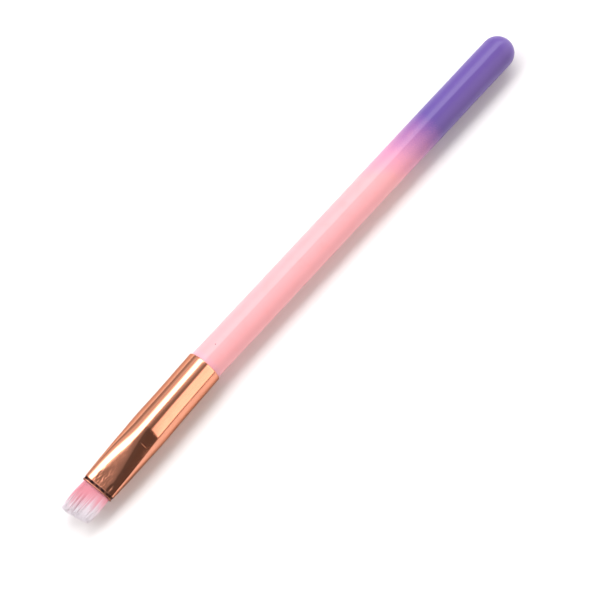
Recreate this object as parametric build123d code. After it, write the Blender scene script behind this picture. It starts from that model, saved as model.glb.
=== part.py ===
"""Flat nail brush: a lacquered rod handle, a drawn metal ferrule pressed flat at its mouth, and a
short flat tuft of nylon filaments set in resin. Millimetres. +X runs along the handle from its butt
to the tuft, +Z is up, and the brush lies on Z = 0 with the handle's axis over Y = 0."""

from build123d import *
import math
import os

# Handle: a plain rod with a round butt and a drafted tenon inside the ferrule.
shaft_diameter = 8.0
shaft_visible_length = 105.65
slip_taper_length = 2.0  # the shaft's last stretch, eased so that it slips into the tube
slip_taper_drop = 0.03
tenon_length = 16.0
tenon_root_step = 0.15  # the tenon's root is this much under the shaft's surface
draft_spare = 0.3  # degrees that the tenon tapers by beyond the head's lean
tenon_tip_chamfer = 0.6

# Ferrule: a drawn tube, round at the handle, narrowed and pressed flat towards its mouth.
ferrule_length = 37.3
ferrule_wall = 0.33
ferrule_overlap = 0.6  # how far the tube slips over the full-size shaft
shaft_clearance = 0.045  # radial gap between the shaft and the tube's bore
bulge_start = 9.0  # where the tube begins to spread sideways, from its handle end
draw_step = 0.006  # how far the drawn part starts below the plain round end
bulge_growth = 0.13  # how far each side spreads where the press begins
press_start = 20.3  # where the flat press begins, from the handle end
press_blend = 1.0  # length over which the round turns into the flat's slope
mouth_width = 8.0
mouth_height = 3.0
mouth_fullness = 4.0  # superellipse power at the mouth, where 2 is a plain ellipse
rolled_edge_radius = 0.2

# The head is glued a little out of line with the handle, towards +Y.
head_lean = 2.0

# Inside the ferrule: the glue film on the tenon, an air space, then the resin plug and the roots.
bond_gap = 0.02  # drawn gap between bonded pieces
glue_film_start = 1.2  # from the ferrule's handle end
glue_film_end_margin = 1.0  # how far the film stops short of the tenon's tip
air_space_length = 2.4
plug_length = 7.0
root_embedment = 3.0
plug_side_film = 0.22  # resin around the filament roots

# Tuft: one closed envelope around the flat bundle of filaments.
tuft_clearance = 0.12  # gap between the bundle and the bore at the mouth
tuft_free_length = 8.6
tuft_slant = 1.2  # how much shorter the +Y side is
tuft_belly_width = 7.6
tuft_belly_height = 2.7
tuft_belly_at = 4.0  # from the mouth
tuft_tip_width = 6.9
tuft_tip_height = 2.2

section_points = 28  # points around each spline section
station_spacing = 1.5
end_margin = 1.0  # how far a cutting tool runs past the tube's ends

shaft_radius = shaft_diameter / 2
bore_radius = shaft_radius + shaft_clearance
ferrule_radius = bore_radius + ferrule_wall
drawn_radius = ferrule_radius - draw_step
tenon_root_radius = shaft_radius - tenon_root_step
tenon_draft = head_lean + draft_spare
axis_height = ferrule_radius
overall_length = shaft_visible_length + ferrule_length + tuft_free_length
butt_x = -overall_length / 2
ferrule_x = butt_x + shaft_visible_length
plug_start = ferrule_overlap + tenon_length + air_space_length
root_start = plug_start + plug_length - root_embedment


def smooth_step(t):
    """0 up to 1 with level ends."""
    t = min(max(t, 0.0), 1.0)
    return t * t * (3 - 2 * t)


def soft_ramp(distance, blend):
    """A ramp of slope 1 that starts at 0 through a parabola as long as the blend."""
    if distance <= -blend / 2:
        return 0.0
    if distance >= blend / 2:
        return distance
    return (distance + blend / 2) ** 2 / (2 * blend)


def mix(start, end, t):
    return start + (end - start) * t


def press_share(u):
    """How far the press has gone at u: 0 on the round tube, 1 at the mouth."""
    return soft_ramp(u - press_start, press_blend) / (ferrule_length - press_start)


def ferrule_half_width(u):
    spread = bulge_growth * smooth_step((u - bulge_start) / (press_start - bulge_start))
    widest = drawn_radius + spread
    return mix(widest, mouth_width / 2, press_share(u))


def ferrule_half_height(u):
    return mix(drawn_radius, mouth_height / 2, press_share(u))


def fullness(u):
    return mix(2.0, mouth_fullness, smooth_step(press_share(u)))


def superellipse(u, half_width, half_height, power):
    """A closed section of the head at u, across the head's own axis."""
    points = []
    for i in range(section_points):
        angle = 2 * math.pi * i / section_points
        c, s = math.cos(angle), math.sin(angle)
        reach = (abs(c) ** power + abs(s) ** power) ** (-1 / power)
        points.append(Vector(u, half_width * c * reach, half_height * s * reach))
    return Face(Wire([Edge.make_spline(points, periodic=True)]))


def stations(start, end):
    """Evenly spaced places from start to end, no further apart than the spacing."""
    count = max(2, math.ceil((end - start) / station_spacing))
    return [mix(start, end, i / count) for i in range(count + 1)]


def tube_core(start, end, inset):
    """The solid inside the ferrule's outer surface, inset by a wall or a gap."""
    base_low = (Align.CENTER, Align.CENTER, Align.MIN)
    round_end = Cylinder(ferrule_radius - inset, bulge_start - start, align=base_low)
    sections = []
    for u in stations(bulge_start / 2, end):
        at = min(u, ferrule_length)
        sections.append(
            superellipse(
                u,
                ferrule_half_width(at) - inset,
                ferrule_half_height(at) - inset,
                fullness(at),
            )
        )
    return loft(sections) + Pos(start, 0, 0) * (Rot(0, 90, 0) * round_end)


def bore_slice(start, end):
    """What fills the ferrule's bore between two places, less the bond gap."""
    bore = tube_core(-end_margin, ferrule_length + end_margin, ferrule_wall + bond_gap)
    middle = (start + end) / 2
    slab = Pos(middle, 0, 0) * Box(end - start, 4 * ferrule_radius, 4 * ferrule_radius)
    return bore & slab


def place_head(shape):
    """From the head's own axes, with u = 0 at the ferrule's handle end, to the brush's place."""
    leaned = Rot(0, 0, head_lean) * shape
    return Pos(ferrule_x, 0, axis_height) * leaned


def tenon(grow):
    """The drafted tenon about the handle's axis, grown by a gap for what fits around it."""
    tip_radius = tenon_root_radius - tenon_length * math.tan(math.radians(tenon_draft))
    base_low = (Align.CENTER, Align.CENTER, Align.MIN)
    cone = Cone(tenon_root_radius + grow, tip_radius + grow, tenon_length, align=base_low)
    return Pos(ferrule_x + ferrule_overlap, 0, axis_height) * (Rot(0, 90, 0) * cone)


def handle():
    """The shaft with its half-ball butt, turned in one piece with the tenon."""
    shaft_end = ferrule_x + ferrule_overlap
    profile = Polyline(
        (butt_x + shaft_radius, shaft_radius),
        (shaft_end - slip_taper_length, shaft_radius),
        (shaft_end, shaft_radius - slip_taper_drop),
        (shaft_end, 0),
        (butt_x, 0),
    )
    butt_arc = RadiusArc((butt_x, 0), (butt_x + shaft_radius, shaft_radius), shaft_radius)
    outline = make_face(Plane.XZ * (Curve() + [profile, butt_arc]))
    shaft = Pos(0, 0, axis_height) * revolve(outline, Axis.X, 360)
    tip_edge = tenon(0.0).edges().filter_by(GeomType.CIRCLE).sort_by(Axis.X)[-1]
    return shaft + chamfer(tip_edge, tenon_tip_chamfer)


def ferrule():
    outside = tube_core(0.0, ferrule_length, 0.0)
    inside = tube_core(-end_margin, ferrule_length + end_margin, ferrule_wall)
    tube = outside - inside
    ends = tube.edges().group_by(Axis.X)
    outer_edges = [group.sort_by(SortBy.LENGTH)[-1] for group in (ends[0], ends[-1])]
    return place_head(fillet(outer_edges, rolled_edge_radius))


def tenon_glue_film():
    end = ferrule_overlap + tenon_length - glue_film_end_margin
    return place_head(bore_slice(glue_film_start, end)) - tenon(bond_gap)


def free_half_size(out, at_mouth, at_belly, at_tips):
    """Half the bundle's size across one way, at a distance out of the mouth."""
    if out <= tuft_belly_at:
        return mix(at_mouth, at_belly, math.sin(math.pi / 2 * out / tuft_belly_at))
    t = smooth_step((out - tuft_belly_at) / (tuft_free_length - tuft_belly_at))
    return mix(at_belly, at_tips, t)


def bundle_section(u):
    """The bundle's section at u, anywhere from its roots to its tips."""
    mouth_inset = ferrule_wall + tuft_clearance
    if u > ferrule_length:
        out = u - ferrule_length
        width_at_mouth = mouth_width / 2 - mouth_inset
        height_at_mouth = mouth_height / 2 - mouth_inset
        half_width = free_half_size(out, width_at_mouth, tuft_belly_width / 2, tuft_tip_width / 2)
        half_height = free_half_size(out, height_at_mouth, tuft_belly_height / 2, tuft_tip_height / 2)
        return superellipse(u, half_width, half_height, mouth_fullness)
    inset = mix(
        ferrule_wall + plug_side_film,
        mouth_inset,
        smooth_step((u - root_start) / (ferrule_length - root_start)),
    )
    return superellipse(u, ferrule_half_width(u) - inset, ferrule_half_height(u) - inset, fullness(u))


def filament_bundle():
    """The bundle before its tips are trimmed."""
    end = ferrule_length + tuft_free_length
    places = stations(root_start, ferrule_length) + stations(ferrule_length, end)[1:]
    return loft([bundle_section(u) for u in places])


def filament_tuft():
    end = ferrule_length + tuft_free_length
    slant = math.degrees(math.atan2(tuft_slant, tuft_tip_width))
    block = 4 * tuft_belly_width
    middle = end - tuft_slant / 2 + block / 2
    trim = Pos(middle, 0, 0) * (Rot(0, 0, slant) * Box(block, block, block))
    return place_head(filament_bundle() - trim)


def root_resin_plug():
    """Resin across the bore behind the roots and in a thin film around them."""
    return place_head(bore_slice(plug_start, plug_start + plug_length) - filament_bundle())


os.makedirs("parts", exist_ok=True)
for node in (handle, ferrule, tenon_glue_film, root_resin_plug, filament_tuft):
    shape = node()
    export_step(shape, f"parts/{node.__name__}.step")
    print(node.__name__, round(shape.volume, 2), shape.bounding_box())
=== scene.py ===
"""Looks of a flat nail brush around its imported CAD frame: lacquered handle, copper-plated ferrule
pressed flat at the mouth, and a tuft of separate two-tone filaments. Metres; +X runs from the butt
to the tuft. Sizes named here are in millimetres and MM turns them into metres."""

import math
import random

import bpy
from mathutils import Matrix, Vector, noise


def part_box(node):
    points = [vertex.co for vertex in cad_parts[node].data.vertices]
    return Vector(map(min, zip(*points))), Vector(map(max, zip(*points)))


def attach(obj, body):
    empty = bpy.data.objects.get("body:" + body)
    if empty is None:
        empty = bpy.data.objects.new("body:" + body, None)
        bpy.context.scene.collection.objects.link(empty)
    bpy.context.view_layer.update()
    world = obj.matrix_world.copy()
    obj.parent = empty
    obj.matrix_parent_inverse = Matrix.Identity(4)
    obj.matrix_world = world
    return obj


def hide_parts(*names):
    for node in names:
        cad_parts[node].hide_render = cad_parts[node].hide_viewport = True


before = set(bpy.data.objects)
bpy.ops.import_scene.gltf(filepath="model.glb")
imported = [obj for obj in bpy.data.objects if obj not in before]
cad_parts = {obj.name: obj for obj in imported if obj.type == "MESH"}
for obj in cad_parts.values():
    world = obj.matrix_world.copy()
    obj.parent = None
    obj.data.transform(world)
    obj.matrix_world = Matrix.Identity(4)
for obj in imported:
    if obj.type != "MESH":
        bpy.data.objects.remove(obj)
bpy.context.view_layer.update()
MM = 0.001

# Handle, from the butt's tip.
SHAFT_VISIBLE_LENGTH = 105.65
SHAFT_RADIUS = 4.0

DUST_SPECK = (101.0, -0.79, 3.92)  # caught in the lacquer, from the butt's tip on the axis

# Ferrule, measured along the head's own axis from the ferrule's handle end.
FERRULE_LENGTH = 37.3
FERRULE_WALL = 0.33
DRAWN_RADIUS = 4.369
SKIN_SPARE = 0.006  # how far the dented wall sits inside the plain solid's
BULGE_START, BULGE_GROWTH = 9.0, 0.13
PRESS_START, PRESS_BLEND = 20.3, 1.0
MOUTH_WIDTH, MOUTH_HEIGHT, MOUTH_FULLNESS = 8.0, 3.0, 4.0
LIP_RADIUS = 0.17
LIP_GROOVE, LIP_GROOVE_AT = 0.12, 1.0
HEAD_LEAN = math.radians(2.0)

# A nick across the pressed flat, left by the press.
NICK_AT, NICK_FROM, NICK_TO = 23.35, 0.8, 3.1
NICK_DEPTH = 0.03

# Where handling has worked the flat, as (centre, half size) from the mouth and across the head.
WORN_FROM_MOUTH, WORN_ACROSS = (2.4, 2.6), (-0.4, 2.0)
FLUTE_FROM_MOUTH, FLUTE_ACROSS = (1.9, 0.9), (2.45, 0.28)
FLUTE_DEPTH = 0.1

# Tuft, measured out of the mouth.
TUFT_FREE_LENGTH = 8.6
TUFT_SLANT = 1.2
BELLY_WIDTH, BELLY_HEIGHT, BELLY_AT = 7.5, 2.6, 4.0
TIP_WIDTH, TIP_HEIGHT = 6.8, 1.9
MOUTH_GAP = 0.14
FILAMENT_RADIUS = 0.045
FILAMENT_PITCH = 0.108
ROOT_DEPTH = 3.0
CLUMP_COUNT = 30

butt_tip = Vector((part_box("handle")[0].x, 0.0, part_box("handle")[0].z + SHAFT_RADIUS * MM))
head_origin = butt_tip + Vector((SHAFT_VISIBLE_LENGTH * MM, 0.0, 0.0))
head_turn = Matrix.Rotation(HEAD_LEAN, 3, "Z")


def head_point(u, v, w):
    """A place given in millimetres along, across and above the head's axis, in the row frame."""
    return head_origin + head_turn @ Vector((u * MM, v * MM, w * MM))


def mix(start, end, t):
    return start + (end - start) * t


def smooth_step(t):
    t = min(max(t, 0.0), 1.0)
    return t * t * (3 - 2 * t)


# ---------------------------------------------------------------- ferrule shape


def soft_ramp(distance, blend):
    """A ramp of slope 1 that starts at 0 through a parabola as long as the blend."""
    if distance <= -blend / 2:
        return 0.0
    if distance >= blend / 2:
        return distance
    return (distance + blend / 2) ** 2 / (2 * blend)


def press_share(u):
    """How far the press has gone at u: 0 on the round tube, 1 at the mouth."""
    return soft_ramp(u - PRESS_START, PRESS_BLEND) / (FERRULE_LENGTH - PRESS_START)


def ferrule_half_size(u):
    """Half width, half height and fullness of the tube's outside at u."""
    share = press_share(u)
    spread = BULGE_GROWTH * smooth_step((u - BULGE_START) / (PRESS_START - BULGE_START))
    half_width = mix(DRAWN_RADIUS + spread, MOUTH_WIDTH / 2, share) - SKIN_SPARE
    half_height = mix(DRAWN_RADIUS, MOUTH_HEIGHT / 2, share) - SKIN_SPARE
    return half_width, half_height, mix(2.0, MOUTH_FULLNESS, smooth_step(share))


def oval_point(angle, half_width, half_height, power):
    """A point of the superellipse, evenly spread by angle."""
    c, s = math.cos(angle), math.sin(angle)
    reach = (abs(c) ** power + abs(s) ** power) ** (-1 / power)
    return half_width * c * reach, half_height * s * reach


def spaced(start, end, step):
    """Places from start to end, no further apart than the step, without the end."""
    count = max(1, math.ceil(abs(end - start) / step))
    return [mix(start, end, i / count) for i in range(count)]


def wall_path():
    """The wall's closed section as (u, inset, painted shade): outside, groove, mouth lip, inside, back
    edge.
    """
    edge = FERRULE_WALL / 2
    mouth = FERRULE_LENGTH
    path = []
    for start, end, step in (
        (edge, NICK_AT - 1, 0.4),
        (NICK_AT - 1, NICK_AT + 1, 0.06),
        (NICK_AT + 1, mouth - 7, 0.3),
        (mouth - 7, mouth - LIP_GROOVE_AT, 0.13),
    ):
        path += [(u, 0.0, 0.0) for u in spaced(start, end, step)]
    for i in range(9):
        t = i / 8
        depth = LIP_GROOVE * smooth_step(2.4 * t)
        groove_u = mix(mouth - LIP_GROOVE_AT, mouth - 1.7 * LIP_RADIUS, t)
        # Painted shade that deepens into the groove behind the lip.
        path.append((groove_u, depth, smooth_step(5 * t)))
    for i in range(16):
        angle = math.radians(135 - 11.5 * i)
        inset = LIP_RADIUS * (1 - math.sin(angle))
        # Painted shade on the lip: full on its groove side, half on the bead whose top faces the lights.
        painted_shade = 1.0 if angle > math.radians(115) else 0.5
        path.append((mouth - LIP_RADIUS + LIP_RADIUS * math.cos(angle), inset, painted_shade))
    # Painted shade inside the wall.
    path += [(u, FERRULE_WALL, 0.3) for u in spaced(mouth - 0.12, edge, 0.8)]
    for i in range(7):
        angle = math.radians(270 - 30 * i)
        path.append((edge + edge * math.cos(angle), edge - edge * math.sin(angle), 0.0))
    return path[:-1]


def bell(place, centre, half_size):
    """1 at the centre, and falling off evenly on both sides."""
    return math.exp(-(((place - centre) / half_size) ** 2))


def handling_dents(u, v, w):
    """How far the pressed flat is pushed in, in millimetres: press waves, the nick and mouth dents."""
    side = 3.0 if w > 0 else 9.0
    from_mouth = FERRULE_LENGTH - u
    long_wave = 0.03 * noise.noise(Vector((u * 0.16, v * 0.35, side)))
    depth = long_wave * smooth_step((u - PRESS_START) / 4)
    worked = bell(from_mouth, *WORN_FROM_MOUTH) * bell(v, *WORN_ACROSS)
    broad = noise.noise(Vector((u * 0.5, v * 1.2, side)))
    fine = noise.noise(Vector((u * 1.3, v * 3.6, side + 2.0)))
    peened = noise.noise(Vector((u * 4.2, v * 4.6, side + 4.0)))
    depth += worked * (0.014 + 0.02 * broad + 0.018 * fine + 0.007 * peened)
    depth += FLUTE_DEPTH * bell(from_mouth, *FLUTE_FROM_MOUTH) * bell(v, *FLUTE_ACROSS)
    if w > 0 and abs(u - NICK_AT) < 1:
        along = u - NICK_AT - 0.03 * math.sin(2.5 * v)
        ends = smooth_step((v - NICK_FROM) / 0.3) * smooth_step((NICK_TO - v) / 0.3)
        depth += NICK_DEPTH * ends * math.exp(-((along / 0.13) ** 2))
    return depth


def ferrule_shell():
    """The ferrule as one closed wall, with its rolled mouth lip and pressed flats."""
    around = 160
    path = wall_path()
    points, painted_shades, faces = [], [], []
    for u, inset, painted_shade in path:
        place = min(max(u, 0.0), FERRULE_LENGTH)
        half_width, half_height, power = ferrule_half_size(place)
        for k in range(around):
            v, w = oval_point(2 * math.pi * k / around, half_width - inset, half_height - inset, power)
            dent = handling_dents(place, v, w) * (w / half_height) ** 2
            points.append(head_point(u, v, w - math.copysign(dent, w)))
            painted_shades.append(painted_shade)
    rows = len(path)
    for i in range(rows):
        for k in range(around):
            a, b = i * around + k, i * around + (k + 1) % around
            c, d = (i + 1) % rows * around + (k + 1) % around, (i + 1) % rows * around + k
            faces.append((a, b, c, d))
    shell = new_piece("ferrule_shell", points, faces)
    # The painted shade numbers for the copper's groove, lip and inside.
    add_numbers(shell, "groove_painted_shade", painted_shades)
    return shell


# ---------------------------------------------------------------- mesh helpers


def new_piece(name, points, faces):
    mesh = bpy.data.meshes.new(name)
    mesh.from_pydata([tuple(p) for p in points], [], faces)
    mesh.shade_smooth()
    mesh.update()
    piece = bpy.data.objects.new(name, mesh)
    bpy.context.scene.collection.objects.link(piece)
    return piece


def add_numbers(piece, name, values):
    """A number on each of the piece's points, for its material."""
    layer = piece.data.attributes.new(name, "FLOAT", "POINT")
    layer.data.foreach_set("value", values)


# ---------------------------------------------------------------- tuft shape


def bundle_half_size(out):
    """Half width and half height of the bundle, at a distance out of the mouth."""
    mouth = (MOUTH_WIDTH / 2 - FERRULE_WALL - MOUTH_GAP, MOUTH_HEIGHT / 2 - FERRULE_WALL - MOUTH_GAP)
    belly = (BELLY_WIDTH / 2, BELLY_HEIGHT / 2)
    tips = (TIP_WIDTH / 2, TIP_HEIGHT / 2)
    if out <= 0:
        return mouth
    if out <= BELLY_AT:
        t = math.sin(math.pi / 2 * out / BELLY_AT)
        return mix(mouth[0], belly[0], t), mix(mouth[1], belly[1], t)
    t = smooth_step((out - BELLY_AT) / (TUFT_FREE_LENGTH - BELLY_AT))
    return mix(belly[0], tips[0], t), mix(belly[1], tips[1], t)


def filament_places(rng):
    """Where the filaments leave the mouth, as shares of the bundle's half width and height."""
    half_width, half_height = bundle_half_size(0)
    places = []
    row_step = FILAMENT_PITCH * math.sqrt(3) / 2
    rows = int(half_height / row_step)
    for row in range(-rows, rows + 1):
        shift = FILAMENT_PITCH / 2 if row % 2 else 0.0
        columns = int(half_width / FILAMENT_PITCH)
        for column in range(-columns - 1, columns + 1):
            v = column * FILAMENT_PITCH + shift + rng.uniform(-0.018, 0.018)
            w = row * row_step + rng.uniform(-0.018, 0.018)
            share = (v / half_width, w / half_height)
            if abs(share[0]) ** MOUTH_FULLNESS + abs(share[1]) ** MOUTH_FULLNESS < 1:
                places.append(share)
    return places


def free_length(across):
    """Trimmed length of a filament by its place across the tuft, from -1 to 1."""
    slanted = TUFT_FREE_LENGTH - TUFT_SLANT * (across + 1) / 2
    return slanted - 0.4 * abs(across) ** 8


def filament_line(place, clump, rng):
    """The filament's centre line in head coordinates, from its root to its tip, and its length out."""
    worn = abs(rng.gauss(0, 0.42)) if rng.random() < 0.76 else rng.uniform(0.4, 2.0)
    length = free_length(place[0]) - worn - clump["trim"]
    drift = (rng.gauss(0, 0.035), rng.gauss(0, 0.03))
    steps = (-ROOT_DEPTH, -0.4, 0.0, 0.14, 0.3, 0.48, 0.66, 0.84, 1.0)
    line = []
    for step in steps:
        out = step * length if step > 0 else step
        half_width, half_height = bundle_half_size(out)
        t = max(out, 0.0) / TUFT_FREE_LENGTH
        pull = clump["pull"] * smooth_step(t * 1.1)
        across = mix(place[0], clump["centre"][0], pull) + drift[0] * t * t
        above = mix(place[1], clump["centre"][1], pull * 0.7) + drift[1] * t
        bend = clump["bend"] * t * t
        line.append((FERRULE_LENGTH + out, across * half_width + bend, above * half_height, out))
    return line


def clumps(rng):
    """Centres that the filaments gather towards at their tips."""
    made = []
    for i in range(CLUMP_COUNT):
        across = -1 + 2 * (i + 0.5) / CLUMP_COUNT + rng.uniform(-0.03, 0.03)
        for above in (-0.5, 0.5):
            made.append(
                {
                    "centre": (across, above + rng.uniform(-0.15, 0.15)),
                    "pull": rng.uniform(0.25, 0.6),
                    "bend": rng.gauss(0, 0.06),
                    "trim": rng.uniform(0.0, 0.5),
                    "tint": rng.random(),
                }
            )
    return made


def nearest_clump(place, made):
    def distance(clump):
        across = (place[0] - clump["centre"][0]) * MOUTH_WIDTH
        above = (place[1] - clump["centre"][1]) * MOUTH_HEIGHT * 0.6
        return math.hypot(across, above)

    return min(made, key=distance)


def filament_tube(line, radius, sides, points, faces):
    """Adds one tapered filament with a rounded tip to the lists."""
    first = len(points)
    last = len(line) - 1
    for i, (u, v, w, _) in enumerate(line):
        size = radius * (0.72 if i == last else 1.0)
        for k in range(sides):
            angle = 2 * math.pi * k / sides
            points.append(head_point(u, v + size * math.cos(angle), w + size * math.sin(angle)))
    for i in range(last):
        for k in range(sides):
            a, b = first + i * sides + k, first + i * sides + (k + 1) % sides
            faces.append((a, a + sides, b + sides, b))
    u, v, w, _ = line[-1]
    points.append(head_point(u + radius * 0.6, v, w))
    tip = len(points) - 1
    for k in range(sides):
        a, b = first + last * sides + k, first + last * sides + (k + 1) % sides
        faces.append((a, tip, b))
    faces.append(tuple(first + k for k in range(sides)))


def tuft_filaments():
    """Every filament of the tuft as its own closed tube, in one piece."""
    rng = random.Random(11)
    made = clumps(rng)
    points, faces, out_of_mouth, tint, shade, side = [], [], [], [], [], []
    sides = 6
    for place in filament_places(rng):
        clump = nearest_clump(place, made)
        line = filament_line(place, clump, rng)
        filament_tube(line, FILAMENT_RADIUS * rng.uniform(0.9, 1.08), sides, points, faces)
        own = rng.random()
        for _, _, _, out in line:
            out_of_mouth += [out] * sides
        out_of_mouth.append(line[-1][3])
        count = len(line) * sides + 1
        tint += [clump["tint"]] * count
        shade += [own] * count
        side += [place[0]] * count
    tuft = new_piece("tuft_filaments", points, faces)
    add_numbers(tuft, "out_of_mouth", out_of_mouth)
    add_numbers(tuft, "clump_tint", tint)
    add_numbers(tuft, "own_shade", shade)
    add_numbers(tuft, "place_across", side)
    return tuft


# ---------------------------------------------------------------- material helpers


class Nodes:
    """A short way to place and link the nodes of one tree."""

    def __init__(self, tree):
        self.tree = tree

    def add(self, kind, **sockets):
        node = self.tree.nodes.new(kind)
        for name, value in sockets.items():
            self.set(node, name.replace("_", " "), value)
        return node

    def set(self, node, name, value):
        socket = node.inputs[name]
        if isinstance(value, bpy.types.NodeSocket):
            self.tree.links.new(value, socket)
        else:
            socket.default_value = value

    def math(self, operation, first, second=0.0, third=0.0):
        node = self.tree.nodes.new("ShaderNodeMath")
        node.operation = operation
        for i, value in enumerate((first, second, third)):
            if isinstance(value, bpy.types.NodeSocket):
                self.tree.links.new(value, node.inputs[i])
            else:
                node.inputs[i].default_value = value
        return node.outputs[0]

    def ramp(self, value, *stops):
        """A straight colour ramp with stops of (place, colour)."""
        node = self.tree.nodes.new("ShaderNodeValToRGB")
        node.color_ramp.interpolation = "LINEAR"
        band = node.color_ramp.elements
        while len(band) < len(stops):
            band.new(0.5)
        for element, (place, colour) in zip(band, stops):
            element.position = place
            element.color = (*colour, 1.0)
        self.tree.links.new(value, node.inputs[0])
        return node.outputs[0]

    def range(self, value, low, high, to_low=0.0, to_high=1.0):
        node = self.tree.nodes.new("ShaderNodeMapRange")
        node.interpolation_type = "SMOOTHSTEP"
        for i, number in enumerate((value, low, high, to_low, to_high)):
            if isinstance(number, bpy.types.NodeSocket):
                self.tree.links.new(number, node.inputs[i])
            else:
                node.inputs[i].default_value = number
        return node.outputs[0]

    def blend(self, share, first, second):
        node = self.tree.nodes.new("ShaderNodeMix")
        node.data_type = "RGBA"
        for name, value in (("Factor_Float", share), ("A_Color", first), ("B_Color", second)):
            socket = next(s for s in node.inputs if s.identifier == name)
            if isinstance(value, bpy.types.NodeSocket):
                self.tree.links.new(value, socket)
            else:
                socket.default_value = value if name == "Factor_Float" else (*value, 1.0)
        return next(s for s in node.outputs if s.identifier == "Result_Color")

    def noise(self, vector, scale, detail=2.0, roughness=0.5):
        node = self.add("ShaderNodeTexNoise", Scale=scale, Detail=detail, Roughness=roughness)
        self.tree.links.new(vector, node.inputs["Vector"])
        return node.outputs["Fac"]

    def stretched(self, vector, x, y, z):
        node = self.add("ShaderNodeVectorMath")
        node.operation = "MULTIPLY"
        self.tree.links.new(vector, node.inputs[0])
        node.inputs[1].default_value = (x, y, z)
        return node.outputs[0]


def new_material(name):
    """A node material with its Principled shader."""
    material = bpy.data.materials.new(name)
    material.use_nodes = True
    nodes = Nodes(material.node_tree)
    shader = material.node_tree.nodes["Principled BSDF"]
    return material, nodes, shader


def object_place(nodes):
    """The point's own place on the brush, in millimetres, with X from the butt's tip."""
    coordinates = nodes.add("ShaderNodeTexCoord")
    from_butt = nodes.add("ShaderNodeVectorMath")
    from_butt.operation = "SUBTRACT"
    nodes.tree.links.new(coordinates.outputs["Object"], from_butt.inputs[0])
    from_butt.inputs[1].default_value = butt_tip
    in_millimetres = nodes.add("ShaderNodeVectorMath")
    in_millimetres.operation = "SCALE"
    nodes.tree.links.new(from_butt.outputs[0], in_millimetres.inputs[0])
    in_millimetres.inputs["Scale"].default_value = 1 / MM
    return in_millimetres.outputs[0]


def lengthwise_lines_group():
    """Shared effect: fine lines along the brush, left by drawing the tube or turning the rod."""
    group = bpy.data.node_groups.new("lengthwise_lines", "ShaderNodeTree")
    group.interface.new_socket("Place", in_out="INPUT", socket_type="NodeSocketVector")
    group.interface.new_socket("Lines per mm", in_out="INPUT", socket_type="NodeSocketFloat")
    group.interface.new_socket("Height", in_out="OUTPUT", socket_type="NodeSocketFloat")
    group.interface.new_socket("Dirt", in_out="OUTPUT", socket_type="NodeSocketFloat")
    nodes = Nodes(group)
    inputs = group.nodes.new("NodeGroupInput")
    outputs = group.nodes.new("NodeGroupOutput")
    long_way = nodes.stretched(inputs.outputs["Place"], 0.02, 1.0, 1.0)
    fine = nodes.add("ShaderNodeTexNoise", Detail=3.0, Roughness=0.6)
    group.links.new(long_way, fine.inputs["Vector"])
    group.links.new(inputs.outputs["Lines per mm"], fine.inputs["Scale"])
    patches = nodes.noise(inputs.outputs["Place"], 0.35, 3.0)
    dirt = nodes.range(patches, 0.45, 0.75)
    group.links.new(fine.outputs["Fac"], outputs.inputs["Height"])
    group.links.new(dirt, outputs.inputs["Dirt"])
    return group


def lines_in(nodes, place, per_mm):
    node = nodes.tree.nodes.new("ShaderNodeGroup")
    node.node_tree = lengthwise_lines
    nodes.tree.links.new(place, node.inputs["Place"])
    node.inputs["Lines per mm"].default_value = per_mm
    return node.outputs["Height"], node.outputs["Dirt"]


lengthwise_lines = lengthwise_lines_group()


# ---------------------------------------------------------------- materials

PINK = (0.93, 0.42, 0.45)
PALE_ORCHID = (0.86, 0.35, 0.45)
WARM_PINK = (0.94, 0.36, 0.37)
HOT_PINK = (0.70, 0.29, 0.45)
DEEP_PINK = (0.51, 0.21, 0.42)
ORCHID = (0.35, 0.145, 0.385)
PURPLE = (0.22, 0.10, 0.365)
VIOLET = (0.125, 0.07, 0.33)
# Painted shade on the lacquer beside the ferrule.
FERRULE_SHADE_LILAC = (0.82, 0.42, 0.56)
SPECK_VIOLET = (0.05, 0.03, 0.08)
COPPER = (0.75, 0.29, 0.17)
DULL_COPPER = (0.54, 0.21, 0.12)
# Painted shade where the plating turns edge-on to the view.
EDGE_SHADE_COPPER = (0.4, 0.13, 0.07)
# Painted shade for the groove behind the mouth lip, the lip and the inside.
PAINTED_GROOVE_SHADE = (0.012, 0.006, 0.008)
FILAMENT_ROOT = (0.94, 0.38, 0.46)
FILAMENT_MIDDLE = (0.93, 0.62, 0.70)
FILAMENT_TIP = (0.93, 0.90, 0.94)
FILAMENT_SHADE = (0.72, 0.48, 0.58)
RESIN_DARK, RESIN_LIGHT = (0.62, 0.42, 0.16), (0.78, 0.62, 0.33)
GLUE_DARK, GLUE_LIGHT = (0.72, 0.68, 0.55), (0.86, 0.84, 0.76)
TABLE_DARK, TABLE_LIGHT = (0.95, 0.95, 0.95), (0.97, 0.97, 0.97)


def speck(nodes, place):
    """A mask of the dust speck caught in the lacquer near the ferrule."""
    away = nodes.add("ShaderNodeVectorMath")
    away.operation = "DISTANCE"
    nodes.tree.links.new(place, away.inputs[0])
    away.inputs[1].default_value = DUST_SPECK
    ragged = nodes.math("ADD", away.outputs["Value"], nodes.math("MULTIPLY", nodes.noise(place, 9.0), 0.2))
    return nodes.range(ragged, 0.2, 0.28, 0.9, 0.0)


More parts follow.
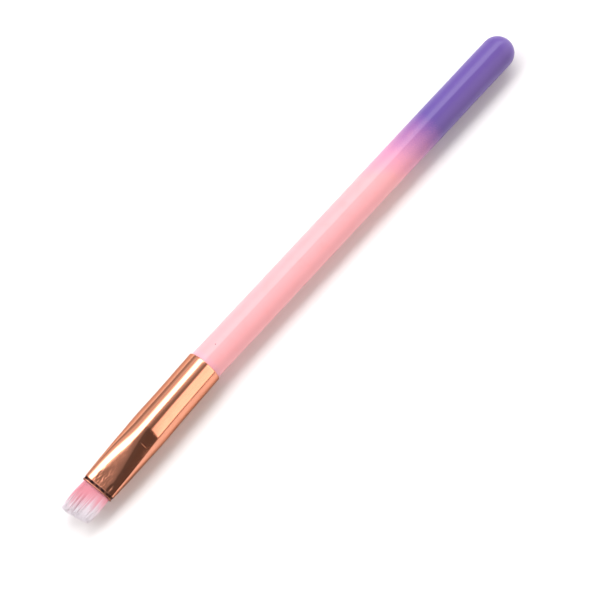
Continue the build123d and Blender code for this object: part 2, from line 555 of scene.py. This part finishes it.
def sprayed_lacquer():
    """Pink lacquer, oversprayed with violet from the butt through a speckled orchid fade."""
    material, nodes, shader = new_material("sprayed_lacquer")
    place = object_place(nodes)
    apart = nodes.add("ShaderNodeSeparateXYZ", Vector=place)
    x, y = apart.outputs["X"], apart.outputs["Y"]
    spray_cloud = nodes.math("MULTIPLY", nodes.noise(place, 0.25, 2.0), 1.6)
    droplets = nodes.math("MULTIPLY", nodes.noise(place, 6.0, 1.0, 0.6), 4.4)
    edge = nodes.math("ADD", x, nodes.math("ADD", spray_cloud, droplets))
    fade_start = 30.8
    fade_length = nodes.range(y, -4.0, 4.0, 22.5, 16.5)
    fade = nodes.math("DIVIDE", nodes.math("SUBTRACT", edge, fade_start), fade_length)
    colour = nodes.ramp(
        fade,
        (0.0, VIOLET),
        (0.1, PURPLE),
        (0.26, ORCHID),
        (0.43, DEEP_PINK),
        (0.6, HOT_PINK),
        (0.8, PALE_ORCHID),
        (1.0, PINK),
    )
    lines, patches = lines_in(nodes, place, 1.6)
    warm = nodes.math("MULTIPLY", nodes.math("MULTIPLY", patches, 0.35), nodes.range(fade, 0.0, 1.0))
    warmed = nodes.blend(warm, colour, WARM_PINK)
    # Painted shade: the lacquer turns lilac and darker over the last 2 mm beside the ferrule.
    ferrule_shade_share = nodes.range(x, SHAFT_VISIBLE_LENGTH - 2.0, SHAFT_VISIBLE_LENGTH - 0.2, 0.0, 0.5)
    shaded_by_ferrule = nodes.blend(ferrule_shade_share, warmed, FERRULE_SHADE_LILAC)
    nodes.set(shader, "Base Color", nodes.blend(speck(nodes, place), shaded_by_ferrule, SPECK_VIOLET))
    orange_peel = nodes.noise(place, 1.1, 2.0)
    peel_height = nodes.math("MULTIPLY", orange_peel, 0.004)
    line_height = nodes.math("MULTIPLY", lines, 0.006)
    height = nodes.math("ADD", peel_height, line_height)
    bump = nodes.add("ShaderNodeBump", Strength=1.0, Distance=MM, Height=height)
    nodes.set(shader, "Normal", bump.outputs[0])
    nodes.set(shader, "Roughness", nodes.range(lines, 0.3, 0.7, 0.42, 0.5))
    nodes.set(shader, "Specular IOR Level", 0.25)
    nodes.set(shader, "Coat Weight", 0.42)
    nodes.set(shader, "Coat Roughness", 0.3)
    return material


def copper_plate():
    """Bright copper-coloured plating with draw lines and handling haze, with painted shade in the groove
    behind the mouth lip, on the lip and inside, and painted shade where the plating turns edge-on.
    """
    material, nodes, shader = new_material("copper_plate")
    place = object_place(nodes)
    lines, dirt = lines_in(nodes, place, 5.0)
    haze = nodes.blend(nodes.math("MULTIPLY", dirt, 0.25), COPPER, DULL_COPPER)
    # Painted shade in the groove, on the lip and inside, a little uneven; it also roughens the copper and
    # takes off its coat there.
    painted_shade = nodes.add("ShaderNodeAttribute")
    painted_shade.attribute_name = "groove_painted_shade"
    uneven = nodes.range(nodes.noise(place, 1.3, 3.0), 0.3, 0.6, 0.82, 1.0)
    painted_shade_share = nodes.math("MULTIPLY", painted_shade.outputs["Fac"], uneven)
    # Painted shade: the copper darkens where the surface turns edge-on to the view.
    edge_on = nodes.add("ShaderNodeLayerWeight", Blend=0.5)
    edge_shade_share = nodes.range(edge_on.outputs["Facing"], 0.35, 0.7, 0.0, 0.6)
    edge_shaded = nodes.blend(edge_shade_share, haze, EDGE_SHADE_COPPER)
    nodes.set(shader, "Base Color", nodes.blend(painted_shade_share, edge_shaded, PAINTED_GROOVE_SHADE))
    worn = nodes.range(lines, 0.3, 0.7, 0.08, 0.14)
    nodes.set(shader, "Roughness", nodes.math("ADD", worn, nodes.math("MULTIPLY", painted_shade_share, 0.4)))
    line_height = nodes.math("MULTIPLY", lines, 0.0012)
    bump = nodes.add("ShaderNodeBump", Strength=1.0, Distance=MM, Height=line_height)
    nodes.set(shader, "Normal", bump.outputs[0])
    nodes.set(shader, "Metallic", 1.0)
    nodes.set(shader, "Specular Tint", (0.7, 0.62, 0.55, 1.0))
    unshaded = nodes.math("SUBTRACT", 1.0, painted_shade_share)
    face_on = nodes.range(edge_on.outputs["Facing"], 0.3, 0.6, 0.8, 0.05)
    nodes.set(shader, "Coat Weight", nodes.math("MULTIPLY", unshaded, face_on))
    nodes.set(shader, "Coat Roughness", 0.06)
    return material


def dyed_nylon():
    """Filament nylon, dyed pink at the root and fading to lilac-white at the tips."""
    material, nodes, shader = new_material("dyed_nylon")
    out = nodes.add("ShaderNodeAttribute")
    out.attribute_name = "out_of_mouth"
    clump = nodes.add("ShaderNodeAttribute")
    clump.attribute_name = "clump_tint"
    own = nodes.add("ShaderNodeAttribute")
    own.attribute_name = "own_shade"
    across = nodes.add("ShaderNodeAttribute")
    across.attribute_name = "place_across"
    reach = nodes.range(across.outputs["Fac"], -0.5, 0.4, 5.2, 2.4)
    patchy = nodes.math("MULTIPLY", nodes.math("SUBTRACT", clump.outputs["Fac"], 0.5), 0.8)
    strand = nodes.math("MULTIPLY", nodes.math("SUBTRACT", own.outputs["Fac"], 0.5), 3.2)
    dye_end = nodes.math("ADD", reach, nodes.math("ADD", patchy, strand))
    fade = nodes.range(nodes.math("SUBTRACT", out.outputs["Fac"], dye_end), -2.4, 2.6)
    colour = nodes.ramp(fade, (0.0, FILAMENT_ROOT), (0.5, FILAMENT_MIDDLE), (1.0, FILAMENT_TIP))
    darker = nodes.math("MULTIPLY", own.outputs["Fac"], 0.2)
    nodes.set(shader, "Base Color", nodes.blend(darker, colour, FILAMENT_SHADE))
    nodes.set(shader, "Roughness", nodes.range(own.outputs["Fac"], 0.0, 1.0, 0.3, 0.45))
    return material


def cast_resin():
    """Cured amber resin around the filament roots."""
    material, nodes, shader = new_material("cast_resin")
    place = object_place(nodes)
    clouds = nodes.noise(place, 0.8, 3.0)
    nodes.set(shader, "Base Color", nodes.ramp(clouds, (0.3, RESIN_DARK), (0.7, RESIN_LIGHT)))
    nodes.set(shader, "Roughness", nodes.range(clouds, 0.3, 0.7, 0.15, 0.3))
    return material


def dried_glue():
    """Off-white dried adhesive on the tenon."""
    material, nodes, shader = new_material("dried_glue")
    place = object_place(nodes)
    clouds = nodes.noise(place, 1.4, 3.0)
    nodes.set(shader, "Base Color", nodes.ramp(clouds, (0.3, GLUE_DARK), (0.7, GLUE_LIGHT)))
    nodes.set(shader, "Roughness", nodes.range(clouds, 0.3, 0.7, 0.45, 0.65))
    return material


def give(piece, material):
    """Puts one material in every slot of the piece."""
    if not piece.material_slots:
        piece.data.materials.append(material)
    for held in piece.material_slots:
        held.material = material


# ---------------------------------------------------------------- pieces


def build_pieces():
    give(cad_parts["handle"], sprayed_lacquer())
    give(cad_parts["root_resin_plug"], cast_resin())
    give(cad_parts["tenon_glue_film"], dried_glue())

    shell = ferrule_shell()
    give(shell, copper_plate())
    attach(shell, "root")
    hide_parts("ferrule")

    tuft = tuft_filaments()
    give(tuft, dyed_nylon())
    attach(tuft, "root")
    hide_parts("filament_tuft")


# ---------------------------------------------------------------- studio

# Brightness of the key box, of the warm box and of the room's dark middle.
KEY, FILL, DARK = 4.25, 2.0, 0.115
KEY_WHITE, WARM_WHITE = (1.0, 0.99, 1.0), (1.0, 0.89, 0.84)


def white_floor():
    size = 4.0
    points = [(-size, -size, 0.0), (size, -size, 0.0), (size, size, 0.0), (-size, size, 0.0)]
    floor = new_piece("floor", [Vector(p) for p in points], [(0, 1, 2, 3)])
    material, nodes, shader = new_material("white_table")
    coordinates = nodes.add("ShaderNodeTexCoord")
    tone = nodes.noise(coordinates.outputs["Object"], 30.0, 2.0)
    nodes.set(shader, "Base Color", nodes.ramp(tone, (0.3, TABLE_DARK), (0.7, TABLE_LIGHT)))
    nodes.set(shader, "Roughness", 0.9)
    nodes.set(shader, "Specular IOR Level", 0.0)
    give(floor, material)


def brightness_around(nodes, angle, stops):
    """The studio's brightness by the angle around the brush, in degrees from overhead towards +Y."""
    top = max(value for _, value in stops)
    greys = [((place + 90) / 180, (value / top,) * 3) for place, value in stops]
    band = nodes.ramp(nodes.math("DIVIDE", nodes.math("ADD", angle, 90.0), 180.0), *greys)
    return nodes.math("MULTIPLY", band, top)


def studio_world():
    """White to the eye; around the brush, a key soft box, a warm one, bright walls and a dark middle."""
    world = bpy.data.worlds.new("studio_world")
    bpy.context.scene.world = world
    world.use_nodes = True
    nodes = Nodes(world.node_tree)
    tree = world.node_tree
    surround = tree.nodes["Background"]
    direction = nodes.add("ShaderNodeTexCoord")
    apart = nodes.add("ShaderNodeSeparateXYZ", Vector=direction.outputs["Generated"])
    angle = nodes.math("DEGREES", nodes.math("ARCTAN2", apart.outputs["Y"], apart.outputs["Z"]))
    left_wall = [(-90, 0.85), (-87, 0.35), (-74, 0.4), (-66, 0.75), (-51, 0.8)]
    key_box = [(-45, 1.8), (-39, KEY), (-18, KEY)]
    far_side = [(84, 0.2), (86, 0.2), (88, 0.85), (90, 0.85)]
    warm_box = [(-12, 1.2), (-3, 0.65), (8, 0.3), (15, 0.3), (22, FILL), (80, FILL), (83, 0.4)]
    dark_room = [(-17, 1.0), (-13, 0.34), (-4, 0.27), (2, DARK), (78, DARK)]
    towards_handle = left_wall + key_box + warm_box + far_side
    towards_tuft = left_wall + key_box + dark_room + far_side
    past_box = nodes.range(apart.outputs["X"], -0.2, -0.16)
    behind = brightness_around(nodes, angle, towards_handle)
    ahead = brightness_around(nodes, angle, towards_tuft)
    change = nodes.math("SUBTRACT", ahead, behind)
    level = nodes.math("ADD", behind, nodes.math("MULTIPLY", past_box, change))
    warmth = nodes.range(angle, 0.0, 30.0)
    tree.links.new(nodes.blend(warmth, KEY_WHITE, WARM_WHITE), surround.inputs["Color"])
    seen = nodes.add("ShaderNodeLightPath")
    mirrored = nodes.math("MULTIPLY_ADD", seen.outputs["Is Glossy Ray"], 0.25, 1.0)
    tree.links.new(nodes.math("MULTIPLY", level, mirrored), surround.inputs["Strength"])
    clear = nodes.add("ShaderNodeBackground", Color=(1.0, 1.0, 1.0, 1.0), Strength=1.1)
    choose = nodes.add("ShaderNodeMixShader")
    tree.links.new(seen.outputs["Is Camera Ray"], choose.inputs[0])
    tree.links.new(surround.outputs[0], choose.inputs[1])
    tree.links.new(clear.outputs[0], choose.inputs[2])
    tree.links.new(choose.outputs[0], tree.nodes["World Output"].inputs["Surface"])


def studio_camera():
    """A long lens high above the brush, off the tuft's end and towards +Y."""
    azimuth, elevation = math.radians(131.59), math.radians(72.41)
    distance = 0.6809
    aim = butt_tip + Vector((79.68, 5.68, 0.0)) * MM
    back = Vector(
        (
            math.sin(azimuth) * math.cos(elevation),
            -math.cos(azimuth) * math.cos(elevation),
            math.sin(elevation),
        )
    )
    lens = bpy.data.cameras.new("studio_camera")
    lens.sensor_width, lens.lens = 36.0, 180.0
    camera = bpy.data.objects.new("studio_camera", lens)
    camera.location = aim + back * distance
    camera.rotation_mode = "QUATERNION"
    camera.rotation_quaternion = (-back).to_track_quat("-Z", "Y")
    bpy.context.scene.collection.objects.link(camera)
    bpy.context.scene.camera = camera


def build_studio():
    white_floor()
    studio_world()
    studio_camera()
    bpy.context.scene.view_settings.view_transform = "Standard"


build_pieces()
build_studio()
